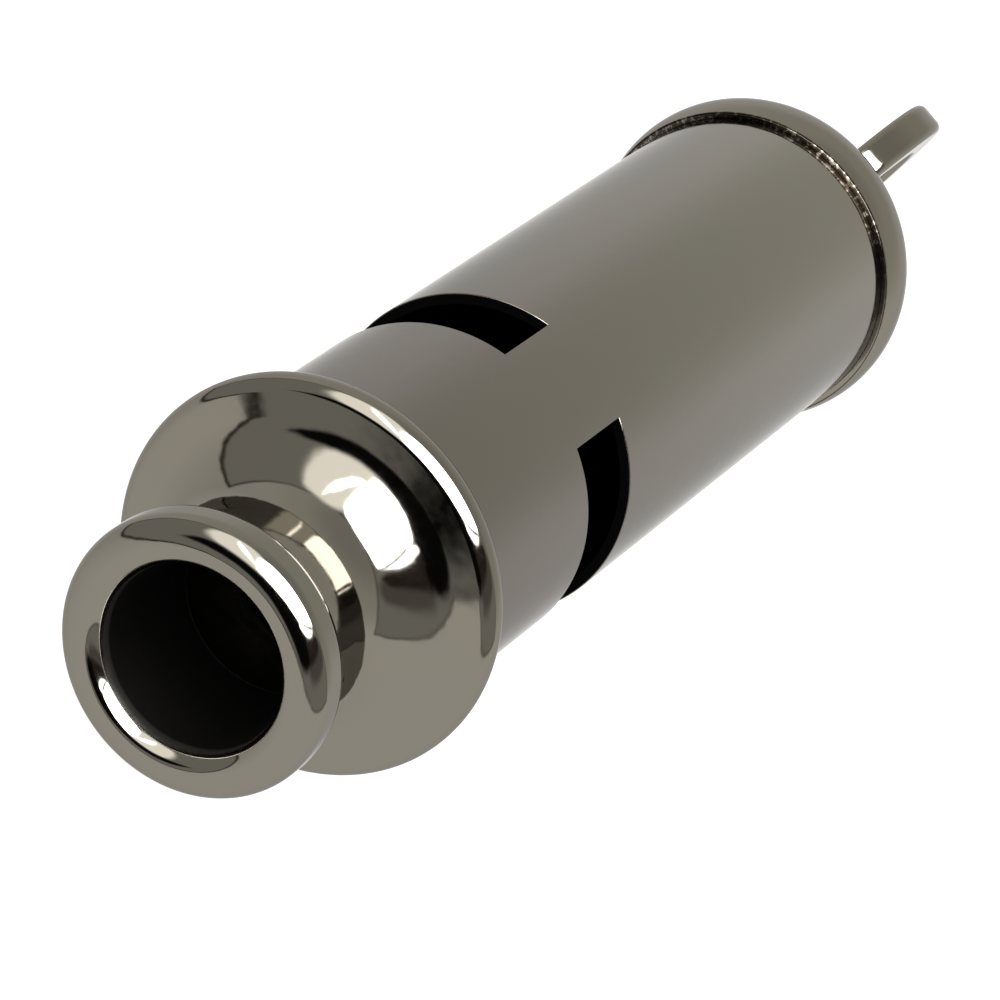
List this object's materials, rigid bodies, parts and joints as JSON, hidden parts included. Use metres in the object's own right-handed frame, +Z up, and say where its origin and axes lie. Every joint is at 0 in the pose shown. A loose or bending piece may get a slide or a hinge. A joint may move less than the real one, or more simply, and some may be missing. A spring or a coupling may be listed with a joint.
{
  "type": "whistle",
  "caption": "Tubular pealess metal whistle with a flanged mouthpiece, side windows, a divided tone chamber, a rounded end cap and a lanyard loop.",
  "frame": {"origin": "middle of the whistle's length and width, at the height of the lowest point of the mouthpiece's flange", "axes": "+Y runs along the axis from the mouthpiece to the lanyard loop, +Z points up through the web between the two windows, +X points out of the right window"},
  "size_m": [0.0204, 0.0858, 0.0205],
  "materials": {
    "plated_tube": "polished dark nickel plate",
    "plated_mouthpiece": "polished dark nickel plate",
    "plated_cap": "polished dark nickel plate, dulled by a flame at the solder line",
    "plated_loop": "polished dark nickel plate",
    "inner_brass": "dull plated brass, seen only through the windows"
  },
  "bodies": {
    "root": {"body_tube": "plated_tube", "mouthpiece": "plated_mouthpiece", "windway_plug_right": "inner_brass", "windway_plug_left": "inner_brass", "divider_plate": "inner_brass", "chamber_stop_high": "inner_brass", "chamber_stop_low": "inner_brass", "end_cap": "plated_cap", "lanyard_loop": "plated_loop"}
  },
  "joints": []
}
